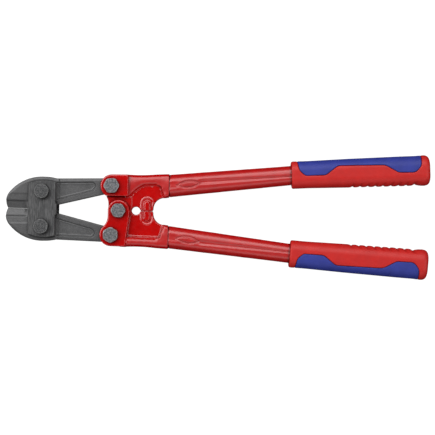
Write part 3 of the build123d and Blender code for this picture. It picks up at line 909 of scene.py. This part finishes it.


# Light edge colour of the jaws and plates: partly wear, partly a painted highlight
STEEL_WEAR_AND_HIGHLIGHT = (0.19, 0.19, 0.19)
looks = {
    "forged_steel": steel_material(
        "forged_steel", (0.085, 0.085, 0.087), STEEL_WEAR_AND_HIGHLIGHT,
        rough=0.4, metallic=0.5, grain=0.9 * MM, contrast=0.4,
    ),
    "plate_steel": steel_material(
        "plate_steel", (0.07, 0.07, 0.072), STEEL_WEAR_AND_HIGHLIGHT,
        rough=0.38, metallic=0.5, grain=1.0 * MM, contrast=0.5, brushed=0.12,
    ),
    # The fasteners' wide light edge rings are partly wear and partly a painted highlight on the heads'
    # chamfers
    "black_fastener": steel_material(
        "black_fastener", (0.04, 0.041, 0.043), (0.3, 0.3, 0.3),
        rough=0.36, metallic=0.5, grain=1.0 * MM, contrast=0.45, rim=1.1,
    ),
    "zinc_fastener": steel_material(
        "zinc_fastener", (0.11, 0.12, 0.13), (0.5, 0.48, 0.49),
        rough=0.34, metallic=0.6, grain=1.8 * MM, contrast=0.55, rim=1.1,
    ),
    "red_enamel": enamel_material("red_enamel", rough=0.15, gloss=0.9),
    "tube_enamel": enamel_material("tube_enamel", rough=0.31, gloss=1.0),
    "red_grip": plastic_material(
        "red_grip", (0.5, 0.011, 0.008), (0.45, 0.009, 0.007), rough=0.42, gloss=0.4
    ),
    "blue_inlay": plastic_material(
        "blue_inlay", (0.022, 0.034, 0.26), (0.018, 0.028, 0.22), rough=0.5, gloss=0.4
    ),
}

slots = {
    "forged_steel": ["upper_jaw", "lower_jaw"],
    "plate_steel": ["front_link_plate", "rear_link_plate"],
    "black_fastener": ["upper_jaw_bolt", "lower_jaw_bolt", "upper_jaw_nut", "lower_jaw_nut"],
    "zinc_fastener": [
        "upper_handle_bolt", "lower_handle_bolt", "centre_bolt",
        "upper_handle_nut", "lower_handle_nut", "centre_nut",
    ],
    "red_enamel": [
        "upper_handle_head", "lower_handle_head", "upper_handle_tube", "lower_handle_tube",
    ],
    "red_grip": ["upper_grip", "lower_grip"],
    "blue_inlay": ["upper_grip_inlay", "lower_grip_inlay"],
}


EDGE_WIDTH = 0.25 * MM
EDGE_SEGMENTS = 2
EDGE_ANGLE = radians(32)


def dress(obj, look):
    """Gives a CAD piece its material and a fine rounding of its edges."""
    obj.data.materials.clear()
    obj.data.materials.append(looks[look])
    rounding = obj.modifiers.new("rounding", "BEVEL")
    rounding.width = EDGE_WIDTH
    rounding.segments = EDGE_SEGMENTS
    rounding.limit_method = "ANGLE"
    rounding.angle_limit = EDGE_ANGLE
    rounding.harden_normals = False
    rounding.use_clamp_overlap = True


for slot, names in slots.items():
    for name in names:
        dress(frame["nodes"][name], slot)
for piece in scene.objects:
    if "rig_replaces" in piece:
        look = "tube_enamel" if piece.name.endswith("_arm_tube") else piece["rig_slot"]
        piece.data.materials.append(looks[look])

# ---------------------------------------------------------------- studio


LIGHT_TARGET = (0, 0, 0)


def area_light(name, place, size, power):
    """White softbox that faces the middle of the tool."""
    data = bpy.data.lights.new(name, "AREA")
    data.shape = "RECTANGLE"
    data.size, data.size_y = size
    data.energy = power
    light = bpy.data.objects.new(name, data)
    scene.collection.objects.link(light)
    light.location = place
    towards = Vector(LIGHT_TARGET) - Vector(place)
    light.rotation_euler = towards.to_track_quat("-Z", "Y").to_euler()


area_light("left_box", (-1.15, 0.35, 1.0), (1.1, 1.1), 13.0)
area_light("back_box", (-0.1, 0.98, 1.2), (2.0, 1.2), 20.0)
area_light("right_box", (1.15, -0.1, 1.0), (1.0, 1.0), 4.5)
area_light("front_box", (0.0, -1.1, 1.0), (2.0, 0.9), 5.0)

WORLD_STRENGTH = 0.25
world = bpy.data.worlds.new("studio")
scene.world = world
world.use_nodes = True
background = world.node_tree.nodes["Background"]
background.inputs["Color"].default_value = (1, 1, 1, 1)
background.inputs["Strength"].default_value = WORLD_STRENGTH
world.cycles_visibility.glossy = False

FLOOR_HALF = 6.0
floor_mesh = bpy.data.meshes.new("floor")
corners = [
    (-FLOOR_HALF, -FLOOR_HALF, 0), (FLOOR_HALF, -FLOOR_HALF, 0),
    (FLOOR_HALF, FLOOR_HALF, 0), (-FLOOR_HALF, FLOOR_HALF, 0),
]
floor_mesh.from_pydata(corners, [], [(0, 1, 2, 3)])
floor = bpy.data.objects.new("floor", floor_mesh)
scene.collection.objects.link(floor)
paper = Nodes("paper")
paper.shader.inputs["Base Color"].default_value = (0.1, 0.1, 0.1, 1)
paper.shader.inputs["Emission Color"].default_value = (1, 1, 1, 1)
paper.shader.inputs["Emission Strength"].default_value = 1.0
paper.shader.inputs["Roughness"].default_value = 0.9
floor_mesh.materials.append(paper.material)
floor.visible_glossy = False
floor.visible_diffuse = False

# ---------------------------------------------------------------- camera

VIEW_DISTANCE = 1.28
VIEW_FIELD = 0.4747
VIEW_TURN = radians(1.345)
CAMERA_Y = -0.00515
SENSOR = 36.0
camera_data = bpy.data.cameras.new("camera")
camera_data.sensor_width = SENSOR
camera_data.lens = SENSOR * VIEW_DISTANCE / VIEW_FIELD
camera = bpy.data.objects.new("camera", camera_data)
scene.collection.objects.link(camera)
camera.location = (0.0, CAMERA_Y, MID_Z + VIEW_DISTANCE)
camera.rotation_euler = (0, 0, VIEW_TURN)
scene.camera = camera
